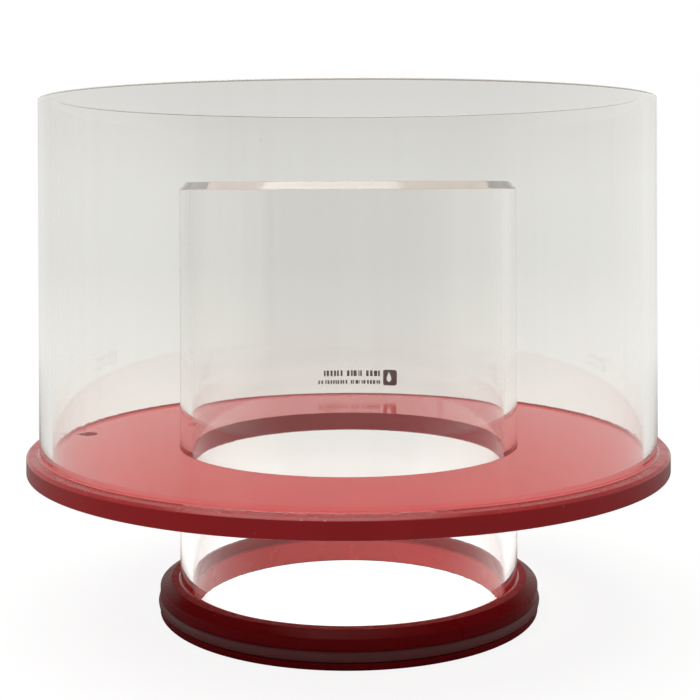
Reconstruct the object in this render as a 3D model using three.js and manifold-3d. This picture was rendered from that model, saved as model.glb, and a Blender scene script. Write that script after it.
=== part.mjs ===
// Collection cup of an aquarium protein skimmer. Foam climbs the clear neck tube, spills over its top
// edge and collects in the clear cup around it, which a red base flange closes below. A nipple under
// the flange drains the cup. The red collar at the foot of the neck plugs into the skimmer body, where
// its O-ring seals. Millimetres, +Z up, with the origin at the centre of the collar's lower face.
import * as THREE from 'three';
import { mergeVertices } from 'three/addons/utils/BufferGeometryUtils.js';
import Module from 'manifold-3d';

const wasm = await Module();
wasm.setup();

// Driving dimensions.
const JOINT_GAP = 0.3; // play left for the cement between a tube and the bore around it
const SEGMENTS = 72; // flats round each large ring
const SEATING_PLAY = 0.05; // play under the printed transfer and round the O-ring's bore

const cup = { radius: 100, wall: 4, height: 112, edgeBreak: 0.4 };
const flange = {
  radius: 104, thickness: 6, bottom: 48.5, topChamfer: 0.8, bottomChamfer: 0.5, boreChamfer: 0.3,
};
const neck = { radius: 55.5, wall: 4, chamfer: 2.4, aboveFlange: 85.6 };
const collar = {
  radius: 62, height: 10.9, shoulder: 3.6, bevel: 1.9, footRadius: 61.4, socketFloor: 7.5,
  glandBottom: 2.3, glandWidth: 3.5, glandDepth: 2.6,
};
const oRing = { section: 3.1, sides: 12 };
const drain = {
  fromAxis: 90.8, azimuth: 172.4, holeRadius: 3.4, boreRadius: 3, shoulderRadius: 6.2,
  shoulderHeight: 3, stemRadius: 4.2, barbRadius: 5, barbLength: 4.5, barbs: 2, barbGap: 2,
  barbRoot: 0.4, tipLength: 1.5, sides: 32,
};
const label = {
  left: -14.2, right: 21.8, aboveFlange: 3.7, height: 6.4, thickness: 0.2, steps: 12,
};

const flangeTop = flange.bottom + flange.thickness;

const CLEAR_ACRYLIC = { color: 0xe6e7e2, roughness: 0.05, metalness: 0, transparent: true, opacity: 0.35 };
const RED_ACRYLIC = { color: 0xa81e22, roughness: 0.12, metalness: 0 };
const NITRILE_RUBBER = { color: 0x35211f, roughness: 0.6, metalness: 0 };
const SCREEN_INK = { color: 0x3c3a3a, roughness: 0.5, metalness: 0 };

/** A solid of revolution about Z. The outline is [radius, z] pairs, up the outside and down the bore. */
function turned(outline, sides = SEGMENTS) {
  const closed = [...outline, outline[0]].map(([radius, z]) => new THREE.Vector2(radius, z));
  return welded(new THREE.LatheGeometry(closed, sides).rotateX(Math.PI / 2));
}

/** The same shape with its shared corners merged, so that it is one closed skin. */
function welded(geometry) {
  geometry.deleteAttribute('normal');
  geometry.deleteAttribute('uv');
  return mergeVertices(geometry, 1e-5);
}

function toSolid(geometry) {
  return new wasm.Manifold(new wasm.Mesh({
    numProp: 3,
    vertProperties: new Float32Array(geometry.attributes.position.array),
    triVerts: new Uint32Array(geometry.index.array),
  }));
}

function toGeometry(solid) {
  const { vertProperties, triVerts } = solid.getMesh();
  const geometry = new THREE.BufferGeometry();
  geometry.setAttribute('position', new THREE.BufferAttribute(vertProperties, 3));
  geometry.setIndex(new THREE.BufferAttribute(triVerts, 1));
  return geometry;
}

function piece(name, geometry, finish) {
  geometry.computeVertexNormals();
  const mesh = new THREE.Mesh(geometry, new THREE.MeshStandardMaterial(finish));
  mesh.name = name;
  return mesh;
}

/** Centre of the drain, seen from above. */
function drainCentre() {
  const angle = THREE.MathUtils.degToRad(drain.azimuth);
  return new THREE.Vector3(drain.fromAxis * Math.cos(angle), drain.fromAxis * Math.sin(angle), 0);
}

/** The outer tube, open at the top and cemented to the flange at its lower end. */
function cupWall() {
  const { radius, wall, height, edgeBreak } = cup;
  const rim = flangeTop + height;
  const bore = radius - wall;
  return piece('cup_wall', turned([
    [radius, flangeTop],
    [radius, rim - edgeBreak],
    [radius - edgeBreak, rim],
    [bore + edgeBreak, rim],
    [bore, rim - edgeBreak],
    [bore, flangeTop],
  ]), CLEAR_ACRYLIC);
}

/** The floor of the cup: a disc with eased edges, bored for the neck tube and for the drain. */
function baseFlange() {
  const { radius, bottom, topChamfer, bottomChamfer, boreChamfer } = flange;
  const bore = neck.radius + JOINT_GAP;
  const disc = turned([
    [bore, bottom],
    [radius - bottomChamfer, bottom],
    [radius, bottom + bottomChamfer],
    [radius, flangeTop - topChamfer],
    [radius - topChamfer, flangeTop],
    [bore + boreChamfer, flangeTop],
    [bore, flangeTop - boreChamfer],
  ]);
  const drill = welded(new THREE.CylinderGeometry(
    drain.holeRadius, drain.holeRadius, 3 * flange.thickness, drain.sides,
  ).rotateX(Math.PI / 2));
  const at = drainCentre();
  drill.translate(at.x, at.y, flangeTop - flange.thickness / 2);
  return piece('base_flange', toGeometry(toSolid(disc).subtract(toSolid(drill))), RED_ACRYLIC);
}

/** The riser: one tube from the collar's socket, through the flange, to the bevelled overflow edge. */
function neckTube() {
  const { radius, wall, chamfer, aboveFlange } = neck;
  const bottom = collar.socketFloor;
  const top = flangeTop + aboveFlange;
  return piece('neck_tube', turned([
    [radius, bottom],
    [radius, top - chamfer],
    [radius - chamfer, top],
    [radius - wall, top],
    [radius - wall, bottom],
  ]), CLEAR_ACRYLIC);
}

/**
 * The plug ring that the neck stands in. Its bore carries on the neck's, its socket takes the tube's
 * end, and outside it has a bevelled shoulder over a gland for the O-ring.
 */
function collarRing() {
  const { radius, height, shoulder, bevel, footRadius, socketFloor } = collar;
  const { glandBottom, glandWidth, glandDepth } = collar;
  const bore = neck.radius - neck.wall;
  const socket = neck.radius + JOINT_GAP;
  const glandTop = glandBottom + glandWidth;
  const glandFloor = radius - glandDepth;
  const easing = radius - footRadius;
  return piece('collar_ring', turned([
    [bore, 0],
    [footRadius, 0],
    [radius, easing],
    [radius, glandBottom],
    [glandFloor, glandBottom],
    [glandFloor, glandTop],
    [radius, glandTop],
    [radius, height - bevel],
    [radius - shoulder, height],
    [socket, height],
    [socket, socketFloor],
    [bore, socketFloor],
  ]), RED_ACRYLIC);
}

/** The O-ring, seated on the floor of the collar's gland and standing slightly proud of it. */
function collarORing() {
  const { section, sides } = oRing;
  const centreRadius = collar.radius - collar.glandDepth + SEATING_PLAY + section / 2;
  const centreHeight = collar.glandBottom + collar.glandWidth / 2;
  const outline = Array.from({ length: sides }, (_, i) => {
    const angle = (2 * Math.PI * i) / sides;
    return [
      centreRadius + (section / 2) * Math.cos(angle),
      centreHeight + (section / 2) * Math.sin(angle),
    ];
  });
  return piece('collar_o_ring', turned(outline), NITRILE_RUBBER);
}

/** The hose nipple cemented under the drain hole: a shoulder and a barbed stem. */
function drainNipple() {
  const { boreRadius, shoulderRadius, shoulderHeight, stemRadius, barbRadius } = drain;
  const rootRadius = stemRadius - drain.barbRoot;
  const seat = flange.bottom;
  const stemTop = seat - shoulderHeight;
  const firstBarb = stemTop - drain.barbGap;
  const barbTops = Array.from({ length: drain.barbs }, (_, i) => firstBarb - i * drain.barbLength);
  const tip = barbTops.at(-1) - drain.barbLength;
  const barbOutline = barbTops.toReversed().flatMap((top) => [
    [rootRadius, top - drain.barbLength],
    [barbRadius, top],
    [stemRadius, top],
  ]);
  const body = turned([
    [boreRadius, tip - drain.tipLength],
    [rootRadius, tip - drain.tipLength],
    ...barbOutline,
    [stemRadius, stemTop],
    [shoulderRadius, stemTop],
    [shoulderRadius, seat],
    [boreRadius, seat],
  ], drain.sides);
  const nipple = piece('drain_nipple', body, RED_ACRYLIC);
  nipple.position.copy(drainCentre());
  return nipple;
}

/** The printed transfer on the outside of the cup's rear wall, curved to the wall. */
function printedLabel() {
  const inner = cup.radius + SEATING_PLAY;
  const outer = inner + label.thickness;
  const angleAt = (x) => Math.acos(x / cup.radius);
  const [start, end] = [angleAt(label.right), angleAt(label.left)];
  const outline = new THREE.Shape();
  outline.absarc(0, 0, outer, start, end, false);
  outline.absarc(0, 0, inner, end, start, true);
  outline.closePath();
  const film = new THREE.ExtrudeGeometry(outline, {
    depth: label.height, bevelEnabled: false, curveSegments: label.steps,
  });
  const mesh = piece('printed_label', welded(film), SCREEN_INK);
  mesh.position.z = flangeTop + label.aboveFlange;
  return mesh;
}

const skimmerCup = new THREE.Group();
skimmerCup.name = 'skimmer_collection_cup';
skimmerCup.add(
  cupWall(),
  baseFlange(),
  neckTube(),
  collarRing(),
  collarORing(),
  drainNipple(),
  printedLabel(),
);

export default skimmerCup;
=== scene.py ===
"""Looks of an aquarium protein skimmer's collection cup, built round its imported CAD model.

The cup is a clear acrylic tube cemented on a red acrylic flange. A clear neck tube passes through the
flange and stands in a red collar, which carries an O-ring. Lengths in the classes are millimetres and
turn to metres where a mesh is made.
"""

import logging
import math
from dataclasses import dataclass
from enum import Enum
from typing import Any, Callable, Optional, Sequence

import bmesh
import bpy
from mathutils import Matrix, Vector

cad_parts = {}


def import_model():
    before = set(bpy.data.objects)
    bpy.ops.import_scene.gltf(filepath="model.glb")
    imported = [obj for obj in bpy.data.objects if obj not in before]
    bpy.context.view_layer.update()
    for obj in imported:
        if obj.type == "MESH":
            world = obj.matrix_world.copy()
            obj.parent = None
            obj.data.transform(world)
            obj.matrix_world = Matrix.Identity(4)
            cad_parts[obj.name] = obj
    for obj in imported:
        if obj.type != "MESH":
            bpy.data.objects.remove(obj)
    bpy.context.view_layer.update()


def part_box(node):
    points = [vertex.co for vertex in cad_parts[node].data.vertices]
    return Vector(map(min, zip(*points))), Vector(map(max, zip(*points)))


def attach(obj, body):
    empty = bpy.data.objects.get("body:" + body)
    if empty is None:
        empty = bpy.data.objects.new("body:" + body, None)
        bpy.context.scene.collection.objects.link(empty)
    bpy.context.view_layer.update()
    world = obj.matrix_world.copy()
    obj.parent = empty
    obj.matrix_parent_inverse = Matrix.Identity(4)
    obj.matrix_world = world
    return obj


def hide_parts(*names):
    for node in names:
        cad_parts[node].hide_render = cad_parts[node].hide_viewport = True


LOG = logging.getLogger("skimmer_cup")
Piece = bpy.types.Object
Material = bpy.types.Material
Tree = bpy.types.NodeTree
Node = bpy.types.Node
Socket = bpy.types.NodeSocket
MM = 0.001
BODY = "root"
RING_STEPS = 288
DRILL_STEPS = 72
ROUNDING_STEPS = 6
SMOOTH_DEG = 32.0  # edges with a smaller angle are shaded smooth
SUNK = 0.02  # how deep a cemented face lies inside the part it is cemented to
LIP = 0.03  # height of a cement bead's outer edge
SUPPORT = 0.3  # distance of the loops that keep long faces flat up to their rounded corners
NEAR = 1e-3 * MM
BORE_MARGIN = 0.1  # how far past a bore's radius its faces are looked for
FACE_MARGIN = 0.05  # the same past a socket's radius and under a level face
LEVEL = 0.9999  # least upright share of the normal of a face that lies level
ACRYLIC_IOR = 1.491
UNMIRRORED = 0.5  # a ray that was mirrored has a glossy depth above this


class Facing(Enum):
    """Which way a cement bead faces from the sheet that it lies on."""

    UP = 1
    DOWN = -1


@dataclass(frozen=True)
class Corner:
    """A point of a turned section, with the size that its corner is rounded to."""

    radius: float
    height: float
    rounding: float = 0.0

    def place(self, axis: Vector) -> Vector:
        """Gives the corner's place, in metres, in the plane through the axis that faces the front.

        Args:
            axis: A point on the axis of the turning, in millimetres.

        Returns:
            The place in the row frame.
        """
        return Vector((axis.x + self.radius, axis.y, self.height)) * MM


class Modeller:
    """The few modelling moves that the pieces share, each made with Blender's own operators."""

    @staticmethod
    def select(piece: Piece, chosen: Callable[[Vector], bool]) -> None:
        """Selects the vertices of a piece in edit mode by their place.

        Args:
            piece: The piece in edit mode.
            chosen: Says whether a vertex at a place, in metres, is selected.
        """
        bpy.ops.mesh.select_mode(type="VERT")
        bpy.ops.mesh.select_all(action="DESELECT")
        mesh = bmesh.from_edit_mesh(piece.data)
        for vertex in mesh.verts:
            vertex.select = chosen(vertex.co)
        mesh.select_flush_mode()
        bmesh.update_edit_mesh(piece.data)

    @staticmethod
    def supported(section: Sequence[Corner]) -> list[Corner]:
        """Adds a support point near each end of every long straight stretch of a section.

        Args:
            section: The corners of a closed section, in order.

        Returns:
            The corners with the support points between them.
        """
        found: list[Corner] = []
        for start, end in zip(section, [*section[1:], section[0]]):
            found.append(start)
            run = math.dist((start.radius, start.height), (end.radius, end.height))
            near, far = start.rounding + SUPPORT, end.rounding + SUPPORT
            if run < 2 * (near + far):
                continue
            for along in (near / run, 1 - far / run):
                radius = start.radius + (end.radius - start.radius) * along
                height = start.height + (end.height - start.height) * along
                found.append(Corner(radius, height))
        return found

    @classmethod
    def turn(
        cls, name: str, section: Sequence[Corner], axis: Vector = Vector(), steps: int = RING_STEPS
    ) -> Piece:
        """Draws a closed section point by point, rounds its corners and spins it round an upright axis.

        Args:
            name: The piece's name.
            section: The section's corners, in order.
            axis: A point on the axis, in millimetres.
            steps: How many steps the spin takes.

        Returns:
            The closed ring, with its object at the origin.
        """
        corners = cls.supported(section)
        bpy.ops.object.select_all(action="DESELECT")
        bpy.ops.mesh.primitive_plane_add(size=MM)
        piece = bpy.context.object
        piece.name = piece.data.name = name
        bpy.ops.object.mode_set(mode="EDIT")
        bpy.ops.mesh.merge(type="CENTER")
        here = corners[0].place(axis)
        bpy.ops.transform.translate(value=here)
        for corner in corners[1:]:
            there = corner.place(axis)
            bpy.ops.mesh.extrude_vertices_move(TRANSFORM_OT_translate={"value": there - here})
            here = there
        ends = (corners[0].place(axis), corners[-1].place(axis))
        cls.select(piece, lambda place: any((place - end).length < NEAR for end in ends))
        bpy.ops.mesh.edge_face_add()
        for rounding in sorted({corner.rounding for corner in corners} - {0.0}):
            places = [c.place(axis) for c in corners if c.rounding == rounding]
            cls.select(piece, lambda place: any((place - at).length < NEAR for at in places))
            bpy.ops.mesh.bevel(
                offset_type="OFFSET",
                offset=rounding * MM,
                segments=ROUNDING_STEPS,
                affect="VERTICES",
            )
        bpy.ops.mesh.select_all(action="SELECT")
        bpy.ops.mesh.spin(
            steps=steps, angle=2 * math.pi, use_auto_merge=True, center=axis * MM, axis=(0, 0, 1)
        )
        cls.close(piece)
        bpy.ops.object.shade_smooth_by_angle(angle=math.radians(SMOOTH_DEG))
        return piece

    @staticmethod
    def close(piece: Piece) -> None:
        """Merges a piece's doubles, turns its faces outwards and leaves edit mode."""
        bpy.ops.mesh.select_all(action="SELECT")
        bpy.ops.mesh.remove_doubles(threshold=NEAR / 10)
        bpy.ops.mesh.normals_make_consistent(inside=False)
        bpy.ops.object.mode_set(mode="OBJECT")

    @staticmethod
    def bead(wall: float, sheet: float, size: float, facing: Facing, outward: int = 1) -> list[Corner]:
        """Gives the corners of the cement fillet between an upright wall and a level sheet.

        Args:
            wall: Radius of the wall.
            sheet: Height of the sheet's surface.
            size: Size of the fillet.
            facing: Whether the fillet lies on top of the sheet or under it.
            outward: 1 where the fillet is outside the wall, -1 where it is inside.

        Returns:
            The corners from the sheet to the wall.
        """
        toe = wall + outward * (size + LIP)
        edge = sheet + facing.value * LIP
        return [Corner(toe, sheet - facing.value * SUNK), Corner(toe, edge), Corner(wall, edge, size)]

    @staticmethod
    def cut(
        piece: Piece, centre: Vector, low_radius: float, high_radius: float, depth: float
    ) -> None:
        """Cuts an upright round or tapered hole into a piece.

        Args:
            piece: The piece that is drilled.
            centre: The middle of the drill, in millimetres.
            low_radius: The drill's radius at its lower end.
            high_radius: Its radius at its upper end.
            depth: The drill's length.
        """
        bpy.ops.object.select_all(action="DESELECT")
        bpy.ops.mesh.primitive_cone_add(
            vertices=DRILL_STEPS,
            radius1=low_radius * MM,
            radius2=high_radius * MM,
            depth=depth * MM,
            location=centre * MM,
        )
        drill = bpy.context.object
        hole = piece.modifiers.new("drilled_hole", "BOOLEAN")
        hole.operation, hole.solver, hole.object = "DIFFERENCE", "EXACT", drill
        bpy.context.view_layer.objects.active = piece
        bpy.ops.object.modifier_apply(modifier=hole.name)
        bpy.data.objects.remove(drill)

    @staticmethod
    def keep_level_faces_flat(piece: Piece) -> None:
        """Shades the faces that lie level as flat, so that a drilled sheet stays even."""
        for face in piece.data.polygons:
            if abs(face.normal.z) > LEVEL:
                face.use_smooth = False

    @staticmethod
    def paint(
        piece: Piece,
        material: Material,
        chosen: Callable[[float, float], bool],
        axis: Vector = Vector(),
    ) -> None:
        """Gives some faces another of the piece's materials.

        Args:
            piece: The piece, with its materials in place.
            material: The material.
            chosen: Says whether a face with its centre at this radius and height is painted.
            axis: A point on the axis that the radius is taken from.
        """
        slot = piece.data.materials.find(material.name)
        for face in piece.data.polygons:
            centre = face.center / MM
            if chosen(math.dist(centre.xy, axis.xy), centre.z):
                face.material_index = slot


def linear(code: str) -> tuple[float, float, float, float]:
    """Turns an sRGB hex colour to linear light.

    Args:
        code: The colour, such as "#a81e22".

    Returns:
        Red, green, blue and an alpha of 1.
    """
    parts = [int(code[at : at + 2], 16) / 255 for at in (1, 3, 5)]
    low = [part / 12.92 for part in parts]
    high = [((part + 0.055) / 1.055) ** 2.4 for part in parts]
    return (*(h if p > 0.04045 else l for p, l, h in zip(parts, low, high)), 1.0)


def add_node(
    tree: Tree, kind: str, inputs: Optional[dict[Any, Any]] = None, **settings: Any
) -> Node:
    """Adds a node to a tree.

    Args:
        tree: The node tree.
        kind: The node's type.
        inputs: Each input's value, or the output socket that feeds it, by name or index.
        **settings: The node's own properties.

    Returns:
        The node.
    """
    made = tree.nodes.new(kind)
    for name, value in settings.items():
        setattr(made, name, value)
    for name, value in (inputs or {}).items():
        if isinstance(value, Socket):
            tree.links.new(value, made.inputs[name])
        else:
            made.inputs[name].default_value = value
    return made


def maths(tree: Tree, operation: str, one: Any, other: Any) -> Socket:
    """Works out two values, each a number or a socket, and gives the result's socket."""
    return add_node(tree, "ShaderNodeMath", {0: one, 1: other}, operation=operation).outputs[0]


def mix_values(tree: Tree, share: Any, one: Any, other: Any) -> Socket:
    """Mixes two values, each a number or a socket, and gives the result's socket."""
    return add_node(tree, "ShaderNodeMix", {0: share, 2: one, 3: other}, data_type="FLOAT").outputs[0]


def mix_colours(tree: Tree, share: Any, one: Any, other: Any) -> Socket:
    """Mixes two colours, each a hex code or a socket, and gives the result's socket."""
    one, other = (linear(part) if isinstance(part, str) else part for part in (one, other))
    return add_node(tree, "ShaderNodeMix", {0: share, 6: one, 7: other}, data_type="RGBA").outputs[2]


def mix_shaders(tree: Tree, share: Any, one: Any, other: Any) -> Socket:
    """Mixes two shaders and gives the result's socket."""
    return add_node(tree, "ShaderNodeMixShader", {0: share, 1: one, 2: other}).outputs[0]


def ranged(
    tree: Tree,
    value: Socket,
    reach: tuple[float, float],
    result: tuple[float, float] = (0.0, 1.0),
    smooth: bool = False,
) -> Socket:
    """Turns one stretch of values into another, and holds its ends past them.

    Args:
        tree: The node tree.
        value: The value.
        reach: Where the stretch starts and ends.
        result: What the value becomes at its start and at its end.
        smooth: Whether it eases in and out.

    Returns:
        The result's socket.
    """
    names = ("From Min", "From Max", "To Min", "To Max")
    inputs = {"Value": value, **dict(zip(names, (*reach, *result)))}
    kind = "SMOOTHSTEP" if smooth else "LINEAR"
    return add_node(tree, "ShaderNodeMapRange", inputs, interpolation_type=kind).outputs[0]


def noise(tree: Tree, place: Socket, size: float, detail: float = 2.0) -> Socket:
    """Gives the socket of a noise whose blotches are about this many millimetres wide."""
    inputs = {"Vector": place, "Scale": per_metre(size), "Detail": detail}
    return add_node(tree, "ShaderNodeTexNoise", inputs).outputs["Fac"]


def glow(tree: Tree, colour: Any, strength: Any = 1.0, kind: str = "ShaderNodeEmission") -> Socket:
    """Gives the socket of a light with a colour, a hex code or a socket, and a strength."""
    colour = linear(colour) if isinstance(colour, str) else colour
    return add_node(tree, kind, {"Color": colour, "Strength": strength}).outputs[0]


def relief(tree: Tree, height: Socket, depth: float, strength: float) -> Socket:
    """Gives the socket of the normals of a relief this many millimetres deep."""
    inputs = {"Height": height, "Distance": depth * MM, "Strength": strength}
    return add_node(tree, "ShaderNodeBump", inputs).outputs[0]


def empty_material(name: str) -> Material:
    """Makes a material with an empty node tree."""
    material = bpy.data.materials.new(name)
    material.use_nodes = True
    material.node_tree.nodes.clear()
    return material


def own_place(tree: Tree) -> Socket:
    """Gives the socket of a point's place on its object, in metres."""
    return add_node(tree, "ShaderNodeTexCoord").outputs["Object"]


def per_metre(size_mm: float) -> float:
    """Gives the noise scale at which one blotch is about this many millimetres wide."""
    return 1.0 / (size_mm * MM)


def specks(
    tree: Tree, place: Socket, spacing: float, size: float, cover: float, share: float = 0.4
) -> Socket:
    """Scatters small round specks.

    Args:
        tree: The node tree.
        place: The coordinates.
        spacing: Distance between the places where a speck may be, in millimetres.
        size: A speck's radius, in millimetres.
        cover: How much a speck covers, from 0 to 1.
        share: The share of those places that has a speck.

    Returns:
        The socket that gives a speck's cover.
    """
    cells = add_node(
        tree, "ShaderNodeTexVoronoi", {"Vector": place, "Scale": per_metre(spacing), "Randomness": 1.0}
    )
    edge = size / spacing
    spot = ranged(tree, cells.outputs["Distance"], (edge, edge / 2), (0.0, cover))
    lot = add_node(tree, "ShaderNodeSeparateColor", {0: cells.outputs["Color"]})
    return maths(tree, "MULTIPLY", spot, maths(tree, "LESS_THAN", lot.outputs[0], share))


@dataclass(frozen=True)
class ClearAcrylic:
    """Clear acrylic tube (PMMA), extruded and polished.

    It bends light like real acrylic, with a faint warm grey of its own. The die leaves faint streaks
    and very slight waves that run up the tube, handling leaves smears, and dust sits on it in specks.
    """

    name: str = "clear_acrylic_tube_polished"
    tint: str = "#fdfdfb"
    streak_tint: str = "#f3f2ee"
    dust_tint: str = "#b9b4ac"
    roughness: float = 0.0
    frosting: float = 0.0
    smear_roughness: float = 0.03
    smear_size: float = 28.0
    smear_reach: tuple[float, float] = (0.5, 0.75)
    streak_width: float = 4.0
    streak_stretch: float = 0.02
    streak_reach: tuple[float, float] = (0.45, 0.8)
    streak_share: float = 0.2
    wave_height: float = 0.015
    dust_spacing: float = 13.0
    dust_size: float = 0.34
    dust_cover: float = 0.45
    shadow_tint: str = "#f6f5f2"
    absorbed: str = "#e4dbd0"
    absorption: float = 6.5

    def make(self) -> Material:
        """Builds the material.

        Returns:
            The material.
        """
        material = empty_material(self.name)
        tree = material.node_tree
        place = own_place(tree)
        scale = (1, 1, self.streak_stretch)
        upright = add_node(tree, "ShaderNodeMapping", {"Vector": place, "Scale": scale})
        streaks = noise(tree, upright.outputs[0], self.streak_width)
        streaked = ranged(tree, streaks, self.streak_reach, (0.0, self.streak_share))
        glassy = mix_colours(tree, streaked, self.tint, self.streak_tint)
        dust = specks(tree, place, self.dust_spacing, self.dust_size, self.dust_cover)
        smears = noise(tree, place, self.smear_size, detail=4.0)
        haze = ranged(tree, smears, self.smear_reach, (self.roughness, self.smear_roughness))
        body = add_node(
            tree,
            "ShaderNodeBsdfPrincipled",
            {
                "Base Color": mix_colours(tree, dust, glassy, self.dust_tint),
                "Roughness": haze,
                "IOR": ACRYLIC_IOR,
                "Transmission Weight": 1.0 - self.frosting,
                "Normal": relief(tree, streaks, self.wave_height, strength=1.0),
            },
        )
        rays = add_node(tree, "ShaderNodeLightPath")
        straight = maths(tree, "ADD", rays.outputs["Is Shadow Ray"], rays.outputs["Is Diffuse Ray"])
        straight.node.use_clamp = True
        lamps = add_node(tree, "ShaderNodeBsdfTransparent", {"Color": linear(self.shadow_tint)})
        surface = mix_shaders(tree, straight, body.outputs[0], lamps.outputs[0])
        depth = add_node(
            tree,
            "ShaderNodeVolumeAbsorption",
            {"Color": linear(self.absorbed), "Density": self.absorption},
        )
        add_node(tree, "ShaderNodeOutputMaterial", {"Surface": surface, "Volume": depth.outputs[0]})
        return material


@dataclass(frozen=True)
class RedAcrylic:
    """Solid red cast acrylic, turned or cut from sheet and polished.

    A deep even red under a clear gloss. Dust and dried salt leave pale and dark specks, and handling
    leaves faint blotches that only the reflection shows.
    """

    name: str = "red_cast_acrylic_polished"
    colour: str = "#d8393c"
    shade: str = "#ce3337"
    roughness: float = 0.07
    dull_roughness: float = 0.16
    dull_reach: tuple[float, float] = (0.35, 0.7)
    blotch_size: float = 16.0
    dust_spacing: float = 2.4
    dust_size: float = 0.32
    dust_colour: str = "#8a2528"
    dust_cover: float = 0.55
    salt_colour: str = "#e3a09b"
    salt_spacing: float = 1.7  # as a multiple of the dust's
    salt_share: float = 0.15
    specular: float = 0.5

    def make(self) -> Material:
        """Builds the material.

        Returns:
            The material.
        """
        material = empty_material(self.name)
        tree = material.node_tree
        place = own_place(tree)
        blotches = noise(tree, place, self.blotch_size, detail=4.0)
        red = mix_colours(tree, blotches, self.shade, self.colour)
        dust = specks(tree, place, self.dust_spacing, self.dust_size, self.dust_cover)
        dusty = mix_colours(tree, dust, red, self.dust_colour)
        spacing = self.dust_spacing * self.salt_spacing
        salt = specks(tree, place, spacing, self.dust_size, self.dust_cover, self.salt_share)
        gloss = ranged(tree, blotches, self.dull_reach, (self.roughness, self.dull_roughness))
        body = add_node(
            tree,
            "ShaderNodeBsdfPrincipled",
            {
                "Base Color": mix_colours(tree, salt, dusty, self.salt_colour),
                "Roughness": gloss,
                "IOR": ACRYLIC_IOR,
                "Specular IOR Level": self.specular,
            },
        )
        add_node(tree, "ShaderNodeOutputMaterial", {"Surface": body.outputs[0]})
        return material


@dataclass(frozen=True)
class NitrileRubber:
    """Moulded nitrile rubber: near black with a brown cast, matt, with a fine pebble from the mould."""

    name: str = "nitrile_rubber_moulded"
    colour: str = "#5c2a2d"
    worn: str = "#683638"
    grime_size: float = 7.0
    pebble: float = 0.5
    pebble_height: float = 0.03
    roughness: tuple[float, float] = (0.42, 0.68)
    ior: float = 1.52

    def make(self) -> Material:
        """Builds the material.

        Returns:
            The material.
        """
        material = empty_material(self.name)
        tree = material.node_tree
        place = own_place(tree)
        grime = noise(tree, place, self.grime_size, detail=5.0)
        grain = noise(tree, place, self.pebble)
        body = add_node(
            tree,
            "ShaderNodeBsdfPrincipled",
            {
                "Base Color": mix_colours(tree, grime, self.colour, self.worn),
                "Roughness": ranged(tree, grime, (0.0, 1.0), self.roughness),
                "IOR": self.ior,
                "Normal": relief(tree, grain, self.pebble_height, strength=0.5),
            },
        )
        add_node(tree, "ShaderNodeOutputMaterial", {"Surface": body.outputs[0]})
        return material


@dataclass(frozen=True)
class ScreenInk:
    """Screen-printed ink: a thin dark grey coat, a little uneven where the mesh let less through."""

    name: str = "screen_ink_printed"
    colour: str = "#343333"
    thin: str = "#4b4a49"
    mesh_pitch: float = 0.35
    roughness: float = 0.55
    ior: float = 1.5

    def make(self) -> Material:
        """Builds the material.

        Returns:
            The material.
        """
        material = empty_material(self.name)
        tree = material.node_tree
        coat = noise(tree, own_place(tree), self.mesh_pitch)
        colour = mix_colours(tree, coat, self.colour, self.thin)
        body = add_node(
            tree,
            "ShaderNodeBsdfPrincipled",
            {"Base Color": colour, "Roughness": self.roughness, "IOR": self.ior},
        )
        add_node(tree, "ShaderNodeOutputMaterial", {"Surface": body.outputs[0]})
        return material


@dataclass
class CadBox:
    """A CAD node's box in millimetres, from which the visible pieces take their places."""

    low: Vector
    high: Vector

    @classmethod
    def of(cls, node: str) -> "CadBox":
        """Reads a node's box from the frame.

        Args:
            node: The CAD node's name.

        Returns:
            Its box.
        """
        low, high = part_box(node)
        return cls(low / MM, high / MM)

    @property
    def centre(self) -> Vector:
        """The middle of the box."""
        return (self.low + self.high) / 2


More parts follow.
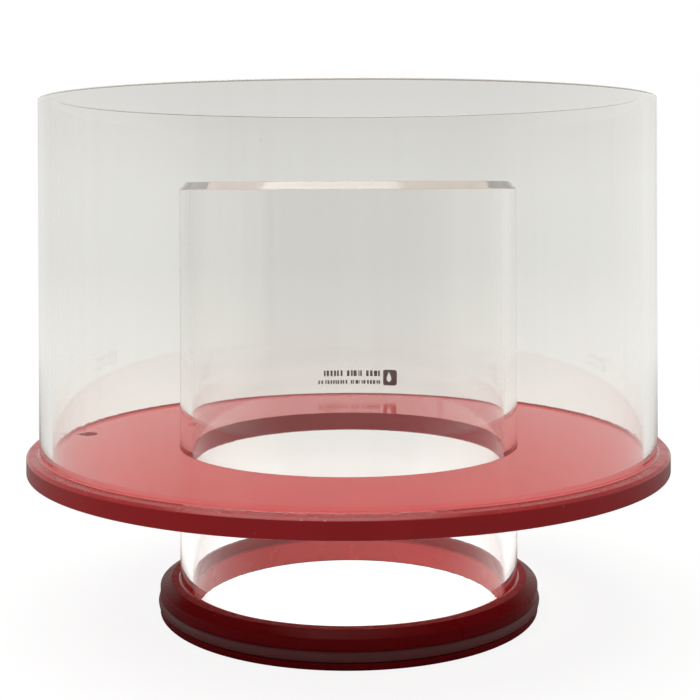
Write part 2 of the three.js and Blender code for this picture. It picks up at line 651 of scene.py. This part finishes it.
class Finishes:
    """The materials of the whole cup, made once."""

    def __init__(self) -> None:
        """Makes every material."""
        self.clear = ClearAcrylic().make()
        self.filmed = ClearAcrylic(
            name="clear_acrylic_tube_filmed", tint="#ffffff", streak_tint="#f6f5f4", smear_size=20.0
        ).make()
        self.machined = ClearAcrylic(
            name="clear_acrylic_machined_bevel",
            tint="#fff8f6",
            streak_tint="#faf0ee",
            roughness=0.1,
            smear_roughness=0.2,
            frosting=0.42,
            smear_size=6.0,
        ).make()
        self.sawn = ClearAcrylic(
            name="clear_acrylic_sawn_rim",
            tint="#fffaf6",
            streak_tint="#f6f0ea",
            roughness=0.12,
            smear_roughness=0.2,
            frosting=0.6,
            smear_size=6.0,
        ).make()
        self.red = RedAcrylic().make()
        # Painted shade: a darker copy of the red for the flange's outer edge, which faces the dim front
        self.painted_shade_edge = RedAcrylic(
            name="red_cast_acrylic_painted_shade_edge",
            colour="#b02127",
            shade="#a21b21",
            roughness=0.12,
            dull_roughness=0.22,
            dust_cover=0.3,
            specular=0.45,
        ).make()
        self.ledge = RedAcrylic(
            name="red_cast_acrylic_grimed",
            colour="#a52a2b",
            shade="#8a2123",
            roughness=0.18,
            dull_roughness=0.34,
            blotch_size=7.0,
            dust_spacing=1.8,
            dust_cover=0.75,
            specular=0.3,
        ).make()
        self.bonded = RedAcrylic(
            name="red_cast_acrylic_bonded_bore",
            colour="#b9262d",
            shade="#a52027",
            roughness=0.6,
            dull_roughness=0.8,
            specular=0.0,
        ).make()
        self.cemented = RedAcrylic(
            name="red_cast_acrylic_cemented",
            colour="#962427",
            shade="#7a181b",
            roughness=0.5,
            dull_roughness=0.8,
            blotch_size=3.0,
            specular=0.2,
        ).make()
        # Painted shade: a much darker red for the collar, standing in for the shade under the flange
        self.collar = RedAcrylic(
            name="red_cast_acrylic_painted_shade_collar",
            colour="#741017",
            shade="#660c12",
            roughness=0.22,
            dull_roughness=0.36,
            dust_cover=0.3,
            specular=0.04,
        ).make()
        # Painted light: a brighter red that makes the bores glow as if lit through the acrylic
        self.painted_glow_red = RedAcrylic(
            name="red_cast_acrylic_painted_glow",
            colour="#dc5253",
            shade="#c84243",
            roughness=0.2,
            dull_roughness=0.35,
            dust_cover=0.2,
        ).make()
        self.rubber = NitrileRubber().make()
        self.ink = ScreenInk().make()


class VisiblePiece:
    """What every visible piece does once it is modelled."""

    node: str
    slot: str

    def settle(self, piece: Piece, materials: Sequence[Material]) -> None:
        """Dresses a piece and makes it stand for its CAD node.

        Args:
            piece: The finished piece.
            materials: Its materials, the main one first.
        """
        for material in materials:
            piece.data.materials.append(material)
        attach(piece, BODY)
        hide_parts(self.node)
        LOG.info("%s: %d faces", piece.name, len(piece.data.polygons))


@dataclass
class CupWall(VisiblePiece):
    """The clear outer tube, with a sawn and eased rim and a cement fillet on both sides of its foot."""

    wall: float = 4.0
    rim_rounding: float = 0.4
    fillet: float = 0.6
    inner_fillet: float = 0.25
    node: str = "cup_wall"
    slot: str = "clear_acrylic"

    def build(self, finishes: Finishes) -> None:
        """Models and dresses the tube.

        Args:
            finishes: The cup's materials.
        """
        box = CadBox.of(self.node)
        outer, rim, floor = box.high.x, box.high.z, box.low.z
        inner = outer - self.wall
        section = [
            *Modeller.bead(outer, floor, self.fillet, Facing.UP),
            Corner(outer, rim, self.rim_rounding),
            Corner(inner, rim, self.rim_rounding),
            *reversed(Modeller.bead(inner, floor, self.inner_fillet, Facing.UP, outward=-1)),
        ]
        piece = Modeller.turn("clear_cup_wall", section)
        self.settle(piece, [finishes.clear, finishes.sawn])
        Modeller.paint(piece, finishes.sawn, lambda radius, z: z > rim - self.rim_rounding)


@dataclass
class BaseFlange(VisiblePiece):
    """The red disc under the cup, bored for the neck and drilled for the drain."""

    top_chamfer: float = 0.8
    edge_rounding: float = 0.15
    bottom_rounding: float = 0.5
    contact_line: float = 0.6
    bonded_width: float = 0.5
    drain_radius: float = 3.4
    drain_easing: float = 0.3
    drill_length: float = 30.0
    node: str = "base_flange"
    slot: str = "red_acrylic"

    def build(self, finishes: Finishes) -> None:
        """Models and dresses the flange.

        Args:
            finishes: The cup's materials.
        """
        box = CadBox.of(self.node)
        edge, under, top = box.high.x, box.low.z, box.high.z
        bore = CadBox.of("neck_tube").high.x - SUNK
        wall = CadBox.of("cup_wall").high.x
        wall_inside = wall - CupWall.wall
        section = [
            Corner(bore, under),
            Corner(edge, under, self.bottom_rounding),
            Corner(edge, top - self.top_chamfer, self.edge_rounding),
            Corner(edge - self.top_chamfer, top, self.edge_rounding),
            Corner(wall + CupWall.fillet, top),
            Corner(wall - self.contact_line, top),
            Corner(wall_inside - CupWall.inner_fillet, top),
            Corner(bore, top),
        ]
        piece = Modeller.turn("red_base_flange", section)
        self.drill(piece, top)
        self.settle(
            piece,
            [
                finishes.red,
                finishes.bonded,
                finishes.cemented,
                finishes.painted_glow_red,
                finishes.painted_shade_edge,
                finishes.ledge,
            ],
        )
        outside = wall + CupWall.fillet
        shoulder = top - self.top_chamfer
        drain = CadBox.of("drain_nipple").centre
        drilled = self.drain_radius + self.drain_easing
        Modeller.paint(piece, finishes.ledge, lambda radius, z: radius > outside and z > shoulder)
        # Painted shade on the flange's outer edge face
        Modeller.paint(
            piece,
            finishes.painted_shade_edge,
            lambda radius, z: radius > edge - self.edge_rounding and z < shoulder,
        )
        # Painted glow on the drain hole's wall
        Modeller.paint(
            piece,
            finishes.painted_glow_red,
            lambda radius, z: radius < drilled and under + NEAR / MM < z < top - NEAR / MM,
            drain,
        )
        Modeller.paint(
            piece,
            finishes.bonded,
            lambda radius, z: radius < bore + self.bonded_width and z > under + BORE_MARGIN,
        )
        Modeller.paint(
            piece,
            finishes.cemented,
            lambda radius, z: wall - self.contact_line < radius < outside and abs(z - top) < NEAR / MM,
        )

    def drill(self, piece: Piece, top: float) -> None:
        """Drills the drain hole and countersinks its upper edge a little.

        Args:
            piece: The flange.
            top: Height of its upper face.
        """
        drain, hole, easing = CadBox.of("drain_nipple").centre, self.drain_radius, self.drain_easing
        centre = Vector((drain.x, drain.y, top))
        Modeller.cut(piece, centre, hole, hole, self.drill_length)
        Modeller.cut(piece, centre, hole - easing, hole + easing, 2 * easing)
        bpy.ops.object.mode_set(mode="EDIT")
        Modeller.close(piece)
        bpy.ops.object.shade_smooth_by_angle(angle=math.radians(SMOOTH_DEG))
        Modeller.keep_level_faces_flat(piece)


@dataclass
class NeckTube(VisiblePiece):
    """The clear riser from the collar's socket through the flange to its bevelled top edge."""

    wall: float = 4.0
    bevel: float = 2.4
    edge_rounding: float = 0.2
    fillet: float = 0.5
    node: str = "neck_tube"
    slot: str = "clear_acrylic"

    def build(self, finishes: Finishes) -> None:
        """Models and dresses the tube.

        Args:
            finishes: The cup's materials.
        """
        box = CadBox.of(self.node)
        flange, collar = CadBox.of("base_flange"), CadBox.of("collar_ring")
        outer, foot, top = box.high.x, box.low.z, box.high.z
        section = [
            Corner(outer, foot),
            Corner(outer, collar.high.z - SUNK),
            *Modeller.bead(outer, collar.high.z, self.fillet, Facing.UP),
            *reversed(Modeller.bead(outer, flange.low.z, self.fillet, Facing.DOWN)),
            Corner(outer, flange.low.z + SUNK),
            Corner(outer, top - self.bevel, self.edge_rounding),
            Corner(outer - self.bevel, top, self.edge_rounding),
            Corner(outer - self.wall, top, self.edge_rounding),
            Corner(outer - self.wall, foot),
        ]
        piece = Modeller.turn("clear_neck_tube", section)
        self.settle(piece, [finishes.filmed, finishes.machined])
        inner, edge = outer - self.wall, top - self.bevel
        Modeller.paint(
            piece,
            finishes.machined,
            lambda radius, z: radius > inner + self.edge_rounding and z > edge,
        )


@dataclass
class CollarRing(VisiblePiece):
    """The turned red ring at the neck's foot: socket, bevelled shoulder and O-ring gland."""

    height_bevel: float = 1.9
    shoulder: float = 3.6
    foot_easing: float = 0.6
    socket_depth: float = 3.4
    gland_bottom: float = 2.3
    gland_width: float = 3.5
    gland_depth: float = 2.6
    gland_rounding: float = 0.15
    edge_rounding: float = 0.25
    node: str = "collar_ring"
    slot: str = "red_acrylic"

    def build(self, finishes: Finishes) -> None:
        """Models and dresses the ring.

        Args:
            finishes: The cup's materials.
        """
        box = CadBox.of(self.node)
        neck = CadBox.of("neck_tube").high.x
        outer, foot, top = box.high.x, box.low.z, box.high.z
        bore, socket = neck - NeckTube.wall, neck - SUNK
        seat = top - self.socket_depth + SUNK
        gland = foot + self.gland_bottom
        soft = self.edge_rounding
        section = [
            Corner(bore, foot, soft),
            Corner(outer - self.foot_easing, foot, soft),
            Corner(outer, foot + self.foot_easing, soft),
            Corner(outer, gland, self.gland_rounding),
            Corner(outer - self.gland_depth, gland),
            Corner(outer - self.gland_depth, gland + self.gland_width),
            Corner(outer, gland + self.gland_width, self.gland_rounding),
            Corner(outer, top - self.height_bevel, soft),
            Corner(outer - self.shoulder, top, soft),
            Corner(socket, top),
            Corner(socket, seat),
            Corner(bore, seat),
        ]
        piece = Modeller.turn("red_collar_ring", section)
        # The collar's main red is painted shade, darker than the flange's
        self.settle(
            piece, [finishes.collar, finishes.bonded, finishes.painted_glow_red, finishes.cemented]
        )
        Modeller.paint(
            piece,
            finishes.bonded,
            lambda radius, z: radius < socket + FACE_MARGIN and z > seat - NEAR / MM,
        )
        # Painted glow on the bore under the socket
        Modeller.paint(
            piece,
            finishes.painted_glow_red,
            lambda radius, z: radius < bore + BORE_MARGIN and soft < z < seat,
        )
        Modeller.paint(
            piece,
            finishes.cemented,
            lambda radius, z: socket < radius < outer - self.shoulder and z > top - FACE_MARGIN,
        )


@dataclass
class ORing(VisiblePiece):
    """The O-ring, squeezed to fill the collar's gland, with the fine flash line of its mould."""

    flash: float = 0.06
    sides: int = 40
    squareness: float = 0.75
    half_width: float = 1.7
    node: str = "collar_o_ring"
    slot: str = "nitrile_rubber"

    def build(self, finishes: Finishes) -> None:
        """Models and dresses the O-ring.

        Args:
            finishes: The cup's materials.
        """
        box = CadBox.of(self.node)
        cord = (box.high.z - box.low.z) / 2
        ring = box.high.x - cord
        section = []
        for side in range(self.sides):
            angle = 2 * math.pi * side / self.sides
            proud = -self.flash if side % (self.sides // 2) else 0.0
            out, up = (
                math.copysign(abs(part) ** self.squareness, part)
                for part in (math.cos(angle), math.sin(angle))
            )
            height = box.centre.z + self.half_width * up
            section.append(Corner(ring + (cord + proud) * out, height))
        piece = Modeller.turn("rubber_o_ring", section)
        self.settle(piece, [finishes.rubber])


@dataclass
class DrainNipple(VisiblePiece):
    """The turned hose nipple under the drain hole, with two barbs."""

    bore: float = 3.0
    shoulder: float = 6.2
    shoulder_height: float = 3.0
    stem: float = 4.2
    barb: float = 5.0
    barb_length: float = 4.5
    barb_gap: float = 2.0
    root: float = 3.8
    barb_rounding: float = 0.15
    tip_rounding: float = 0.2
    shoulder_rounding: float = 0.4
    steps: int = 96
    node: str = "drain_nipple"
    slot: str = "red_acrylic"

    def build(self, finishes: Finishes) -> None:
        """Models and dresses the nipple.

        Args:
            finishes: The cup's materials.
        """
        box = CadBox.of(self.node)
        seat = CadBox.of("base_flange").low.z
        stem_top = seat - self.shoulder_height
        first = stem_top - self.barb_gap
        barbs = []
        for top in (first - self.barb_length, first):
            barbs += [
                Corner(self.root, top - self.barb_length),
                Corner(self.barb, top, self.barb_rounding),
                Corner(self.stem, top),
            ]
        section = [
            Corner(self.bore, box.low.z, self.tip_rounding),
            Corner(self.root, box.low.z, self.tip_rounding),
            *barbs,
            Corner(self.stem, stem_top),
            Corner(self.shoulder, stem_top, self.shoulder_rounding),
            Corner(self.shoulder, seat),
            Corner(self.bore, seat),
        ]
        axis = Vector((box.centre.x, box.centre.y, 0.0))
        piece = Modeller.turn("red_drain_nipple", section, axis, self.steps)
        self.settle(piece, [finishes.red, finishes.painted_glow_red])
        inside = self.bore + BORE_MARGIN
        # Painted glow inside the nipple's bore
        Modeller.paint(piece, finishes.painted_glow_red, lambda radius, z: radius < inside, axis)


@dataclass(frozen=True)
class BarRow:
    """A row of upright bars in groups. The bars' share and the gap are parts of the pitch."""

    height: float
    pitch: float
    groups: tuple[int, ...]
    bar_share: float = 0.62
    bar_middle: float = 0.4
    group_gap: float = 0.8


@dataclass
class PrintedLabel(VisiblePiece):
    """A generic printed mark on the cup's rear wall: a square with a drop in it and rows of bars."""

    icon: float = 6.3
    icon_gap: float = 1.4
    icon_points: int = 48
    icon_power: int = 9  # the higher, the sharper the square's corners
    drop_radius: float = 1.386
    drop_taper: float = 0.85
    drop_tip: float = 0.9
    drop_shift: float = 0.2
    ink: float = 0.04
    bar_rounding: float = 0.12
    upper_row: BarRow = BarRow(2.3, 1.55, (4, 5, 6, 3))
    upper_inset: float = 1.6
    lower_row: BarRow = BarRow(1.5, 1.15, (7, 4, 9, 5))
    lower_inset: float = 1.3
    node: str = "printed_label"
    slot: str = "screen_ink"

    def build(self, finishes: Finishes) -> None:
        """Models the mark flat, wraps it round the wall and dresses it.

        Args:
            finishes: The cup's materials.
        """
        box = CadBox.of(self.node)
        right, low, high = box.high.x, box.low.z, box.high.z
        left_of_icon = right - self.icon - self.icon_gap
        parts = [self.icon_plate(right - self.icon / 2, (low + high) / 2)]
        parts += self.bars(self.upper_row, left_of_icon, box.low.x, high - self.upper_inset)
        parts += self.bars(self.lower_row, left_of_icon, box.low.x, low + self.lower_inset)
        piece = self.joined(parts)
        self.wrap(piece, CadBox.of("cup_wall").high.x)
        self.settle(piece, [finishes.ink])

    def icon_plate(self, x: float, z: float) -> Piece:
        """Makes the square plate with a drop-shaped opening.

        Args:
            x: Its middle, to the right.
            z: Its middle, upwards.

        Returns:
            The flat plate.
        """
        half, power, drop = self.icon / 2, self.icon_power, self.drop_radius

        def on_square(angle: float) -> tuple[float, float]:
            """Gives a point on the rounded square's outline."""
            across, up = math.cos(angle), math.sin(angle)
            reach = half / (abs(across) ** power + abs(up) ** power) ** (1 / power)
            return reach * across, reach * up

        def on_drop(angle: float) -> tuple[float, float]:
            """Gives a point on the drop's outline."""
            tip = max(0.0, math.sin(angle)) ** 3
            up = math.sin(angle) + self.drop_tip * tip - self.drop_shift
            return drop * math.cos(angle) * (1 - self.drop_taper * tip), drop * up

        bpy.ops.object.select_all(action="DESELECT")
        bpy.ops.mesh.primitive_circle_add(vertices=self.icon_points, radius=2 * MM)
        plate = bpy.context.object
        bpy.ops.object.mode_set(mode="EDIT")
        bpy.ops.mesh.primitive_circle_add(vertices=self.icon_points, radius=MM)
        mesh = bmesh.from_edit_mesh(plate.data)
        for vertex in mesh.verts:
            angle = math.atan2(vertex.co.y, vertex.co.x)
            outline = on_square if vertex.co.length > 1.5 * MM else on_drop
            across, up = outline(angle)
            vertex.co = Vector((x + across, 0.0, z + up)) * MM
        bmesh.update_edit_mesh(plate.data)
        bpy.ops.mesh.select_all(action="SELECT")
        bpy.ops.mesh.bridge_edge_loops()
        bpy.ops.object.mode_set(mode="OBJECT")
        return plate

    def bars(self, row: BarRow, right: float, left: float, z: float) -> list[Piece]:
        """Makes a row of bars, from right to left.

        Args:
            row: The row's sizes.
            right: Where the row starts.
            left: Where it ends at the latest.
            z: Height of its middle.

        Returns:
            The flat bars.
        """
        made, x = [], right
        for count in row.groups:
            for _ in range(count):
                if x - row.pitch > left:
                    middle, width = x - row.pitch * row.bar_middle, row.pitch * row.bar_share
                    made.append(self.bar(middle, z, width, row.height))
                x -= row.pitch
            x -= row.pitch * row.group_gap
        return made

    def bar(self, x: float, z: float, width: float, height: float) -> Piece:
        """Makes one flat bar with rounded corners.

        Args:
            x: Its middle, to the right.
            z: Its middle, upwards.
            width: Its width.
            height: Its height.

        Returns:
            The bar.
        """
        bpy.ops.object.select_all(action="DESELECT")
        bpy.ops.mesh.primitive_plane_add(size=MM)
        bar = bpy.context.object
        bpy.ops.object.mode_set(mode="EDIT")
        bpy.ops.transform.resize(value=(width, height, 1))
        bpy.ops.mesh.bevel(
            offset_type="OFFSET", offset=self.bar_rounding * MM, segments=2, affect="VERTICES"
        )
        mesh = bmesh.from_edit_mesh(bar.data)
        for vertex in mesh.verts:
            vertex.co = Vector((x * MM + vertex.co.x, 0.0, z * MM + vertex.co.y))
        bmesh.update_edit_mesh(bar.data)
        bpy.ops.object.mode_set(mode="OBJECT")
        return bar

    @staticmethod
    def joined(parts: Sequence[Piece]) -> Piece:
        """Joins the flat parts to one piece.

        Args:
            parts: The parts.

        Returns:
            The joined piece.
        """
        bpy.ops.object.select_all(action="DESELECT")
        for part in parts:
            part.select_set(True)
        bpy.context.view_layer.objects.active = parts[0]
        bpy.ops.object.join()
        piece = bpy.context.object
        piece.name = piece.data.name = "printed_label_ink"
        return piece

    def wrap(self, piece: Piece, wall: float) -> None:
        """Gives the flat mark its thickness and wraps it round the wall.

        Args:
            piece: The flat mark, in the plane through the cup's axis.
            wall: Radius that it is wrapped at.
        """
        coat = piece.modifiers.new("ink_coat", "SOLIDIFY")
        coat.thickness, coat.offset = self.ink * MM, 0.0
        bpy.ops.object.modifier_apply(modifier=coat.name)
        for vertex in piece.data.vertices:
            angle = vertex.co.x / (wall * MM)
            reach = wall * MM + vertex.co.y + self.ink / 4 * MM
            vertex.co = Vector((reach * math.sin(angle), reach * math.cos(angle), vertex.co.z))
        bpy.ops.object.mode_set(mode="EDIT")
        Modeller.close(piece)
        bpy.ops.object.shade_flat()


@dataclass
class Studio:
    """The pale floor, the soft light and the camera.

    The floor and the backdrop are white to the camera. What shows through the clear tubes is a
    little greyer, as a real backdrop is behind an object, and what lights the object falls off
    towards the front. Reaches over the floor are distances from the cup's axis, in metres. Reaches
    round about and upwards are shares of a way that points to the right, back or up.
    """

    camera_distance: float = 438.8
    camera_height: float = 139.0
    pitch_deg: float = 0.28
    roll_deg: float = -0.21
    lens: float = 68.02
    shift_x: float = 0.0035
    shift_y: float = -0.2266
    floor_size: float = 60_000.0
    floor_bounce: str = "#706e6c"
    floor_inside: str = "#efede9"
    floor_shade: str = "#f3f2f0"
    inside_reach: tuple[float, float] = (0.1, 0.16)
    afar_reach: tuple[float, float] = (0.2, 0.8)
    shadow_share: float = 0.1
    shadow_reach: tuple[float, float] = (0.12, 0.7)
    well_gain: float = 1.28
    well_reach: tuple[float, float] = (0.1, 0.3)
    ramp_reach: tuple[float, float] = (0.0, 2.0)
    ramp_stops: tuple[float, float, float] = (0.1, 0.3, 0.8)
    white: str = "#ffffff"
    light: str = "#fffefb"
    near: str = "#fffefb"
    middle: str = "#f0efec"
    far: str = "#e8e8e6"
    high: str = "#dfdedc"
    upper: str = "#adaca9"
    wall_rise: tuple[float, float] = (0.0, 0.07)
    upper_rise: tuple[float, float] = (0.12, 0.3)
    front_share: float = 0.34
    front_reach: tuple[float, float] = (-0.7, -0.1)
    left_dim: float = 0.84
    right_gain: float = 1.12
    sideways_reach: tuple[float, float] = (0.27, 0.9)
    behind: float = 0.85
    ahead: float = 0.14
    round_reach: tuple[float, float] = (-0.8, 0.5)
    above: float = 0.4
    above_rise: tuple[float, float] = (0.08, 0.6)
    lamp_energy: float = 2.95
    lamp_size_deg: float = 56.0
    lamp_tilt_deg: tuple[float, float] = (6.0, -8.0)
    bounces: int = 28

    def build(self) -> None:
        """Builds the whole studio."""
        self.floor()
        self.world()
        self.key_light()
        self.camera()
        self.light_paths()

    def floor(self) -> None:
        """Lays the pale floor."""
        bpy.ops.object.select_all(action="DESELECT")
        bpy.ops.mesh.primitive_plane_add(size=self.floor_size * MM)
        floor = bpy.context.object
        floor.name = "studio_floor"
        material = empty_material("studio_floor_matt")
        material.cycles.emission_sampling = "NONE"
        tree = material.node_tree
        place = own_place(tree)
        reach = add_node(tree, "ShaderNodeVectorMath", {0: place}, operation="LENGTH").outputs["Value"]
        way = add_node(tree, "ShaderNodeVectorMath", {0: place}, operation="NORMALIZE")
        parts = add_node(tree, "ShaderNodeSeparateXYZ", {0: way.outputs["Vector"]})
        shade = add_node(tree, "ShaderNodeBsdfDiffuse", {"Color": linear(self.floor_shade)})
        fading = ranged(tree, reach, self.shadow_reach, (self.shadow_share, 0.0), smooth=True)
        shaded = [
            mix_shaders(tree, fading, lit, shade.outputs[0])
            for lit in (glow(tree, self.white), self.floor_through(tree, reach, parts))
        ]
        whole = self.by_ray(tree, self.floor_light(tree, reach, parts), *shaded)
        add_node(tree, "ShaderNodeOutputMaterial", {"Surface": whole})
        floor.data.materials.append(material)

    def floor_through(self, tree: Tree, reach: Socket, parts: Node) -> Socket:
        """Lights the floor that shows through the tubes, brightest down the neck.

        Args:
            tree: The node tree.
            reach: The distance from the axis.
            parts: The node that gives the parts of the way.

        Returns:
            The shader's socket.
        """
        spread = ranged(tree, reach, self.ramp_reach)
        ramp = add_node(tree, "ShaderNodeValToRGB", {0: spread})
        ramp.color_ramp.interpolation = "B_SPLINE"
        ramp.color_ramp.elements.new(self.ramp_stops[1])
        colours = (self.near, self.middle, self.far)
        for element, position, colour in zip(ramp.color_ramp.elements, self.ramp_stops, colours):
            element.position, element.color = position, linear(colour)
        level = mix_values(tree, spread, 1.0, self.sideways(tree, parts))
        well = ranged(tree, reach, self.well_reach, (self.well_gain, 1.0), smooth=True)
        lifted = maths(tree, "MULTIPLY", well, self.frontward(tree, parts))
        return glow(tree, ramp.outputs["Color"], maths(tree, "MULTIPLY", level, lifted))

    def floor_light(self, tree: Tree, reach: Socket, parts: Node) -> Socket:
        """Gives what the floor throws on the cup: matt near by, and as bright as the horizon afar.

        Args:
            tree: The node tree.
            reach: The distance from the axis.
            parts: The node that gives the parts of the way.

        Returns:
            The shader's socket.
        """
        inside = ranged(tree, reach, self.inside_reach, smooth=True)
        under = mix_colours(tree, inside, self.floor_inside, self.floor_bounce)
        matt = add_node(tree, "ShaderNodeBsdfDiffuse", {"Color": under})
        afar = ranged(tree, reach, self.afar_reach, smooth=True)
        horizon = glow(tree, self.light, self.round_about(tree, parts))
        return mix_shaders(tree, afar, matt.outputs[0], horizon)

    def frontward(self, tree: Tree, parts: Node) -> Socket:
        """Dims what the inner walls mirror from in front.

        Args:
            tree: The node tree.
            parts: The node that gives the parts of the way.

        Returns:
            The socket that gives the strength.
        """
        dimmed = ranged(
            tree, parts.outputs["Y"], self.front_reach, (self.front_share, 1.0), smooth=True
        )
        rays = add_node(tree, "ShaderNodeLightPath")
        mirrored = maths(tree, "GREATER_THAN", rays.outputs["Glossy Depth"], UNMIRRORED)
        return mix_values(tree, mirrored, 1.0, dimmed)

    def round_about(self, tree: Tree, parts: Node) -> Socket:
        """Gives the strength of the light at the horizon: bright behind, darker from the front."""
        ends = (self.ahead, self.behind)
        return ranged(tree, parts.outputs["Y"], self.round_reach, ends, smooth=True)

    def sideways(self, tree: Tree, parts: Node) -> Socket:
        """Dims what lies far to the left and lifts what lies far to the right.

        Args:
            tree: The node tree.
            parts: The node that gives the parts of the way.

        Returns:
            The socket that gives the strength.
        """
        start, end = self.sideways_reach
        side = parts.outputs["X"]
        left = ranged(tree, side, (-end, -start), (self.left_dim, 1.0))
        right = ranged(tree, side, (start, end), (1.0, self.right_gain))
        return maths(tree, "MULTIPLY", left, right)

    @staticmethod
    def by_ray(tree: Tree, light: Socket, direct: Socket, through: Socket) -> Socket:
        """Chooses what a ray finds: the lighting, the bare stage, or the stage seen through the tubes.

        Args:
            tree: The node tree.
            light: What lights the object and is mirrored in it.
            direct: What the camera sees.
            through: What shows through the clear tubes.

        Returns:
            The shader's socket.
        """
        rays = add_node(tree, "ShaderNodeLightPath")
        inner = mix_shaders(tree, rays.outputs["Is Transmission Ray"], light, through)
        return mix_shaders(tree, rays.outputs["Is Camera Ray"], inner, direct)

    def world(self) -> None:
        """Lights the scene from all round: bright behind, softer above, darker from the front."""
        world = bpy.data.worlds.new("soft_studio")
        bpy.context.scene.world = world
        world.use_nodes = True
        tree = world.node_tree
        tree.nodes.clear()
        way = add_node(tree, "ShaderNodeTexCoord")
        parts = add_node(tree, "ShaderNodeSeparateXYZ", {0: way.outputs["Generated"]})
        up = parts.outputs["Z"]
        overhead = ranged(tree, up, self.above_rise, smooth=True)
        level = mix_values(tree, overhead, self.round_about(tree, parts), self.above)
        wall = mix_colours(tree, ranged(tree, up, self.wall_rise), self.far, self.high)
        climb = ranged(tree, up, self.upper_rise, smooth=True)
        backdrop = mix_colours(tree, climb, wall, self.upper)
        share = maths(tree, "MULTIPLY", self.sideways(tree, parts), self.frontward(tree, parts))
        lit = ((self.light, level), (self.white, 1.0), (backdrop, share))
        lights = (glow(tree, colour, strength, "ShaderNodeBackground") for colour, strength in lit)
        add_node(tree, "ShaderNodeOutputWorld", {"Surface": self.by_ray(tree, *lights)})

    def key_light(self) -> None:
        """Hangs one soft lamp far off, high up and a little in front to the left."""
        forward, aside = (math.radians(tilt) for tilt in self.lamp_tilt_deg)
        bpy.ops.object.light_add(type="SUN", rotation=(forward, aside, 0))
        lamp = bpy.context.object
        lamp.name = "soft_key"
        lamp.data.energy = self.lamp_energy
        lamp.data.angle = math.radians(self.lamp_size_deg)

    def camera(self) -> None:
        """Places the camera in front, about level with the neck's top edge."""
        bpy.ops.object.camera_add()
        camera = bpy.context.object
        camera.name = "studio_camera"
        tilt = Matrix.Rotation(math.radians(90 - self.pitch_deg), 4, "X")
        roll = Matrix.Rotation(math.radians(self.roll_deg), 4, "Z")
        place = Matrix.Translation(Vector((0, -self.camera_distance, self.camera_height)) * MM)
        camera.matrix_world = place @ tilt @ roll
        camera.data.lens = self.lens
        camera.data.shift_x, camera.data.shift_y = self.shift_x, self.shift_y
        bpy.context.scene.camera = camera

    def light_paths(self) -> None:
        """Lets light run far enough inside the clear walls to reach their bevelled edges."""
        cycles = bpy.context.scene.cycles
        cycles.max_bounces = 2 * self.bounces
        cycles.glossy_bounces = cycles.transmission_bounces = self.bounces


def main() -> None:
    """Builds the cup piece by piece round its frame, then the studio."""
    logging.basicConfig(level=logging.INFO, format="%(name)s: %(message)s")
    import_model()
    bpy.context.scene.view_settings.view_transform = "Standard"
    finishes = Finishes()
    parts = (CupWall(), BaseFlange(), NeckTube(), CollarRing(), ORing(), DrainNipple(), PrintedLabel())
    for part in parts:
        part.build(finishes)
    Studio().build()


if __name__ == "__main__":
    main()
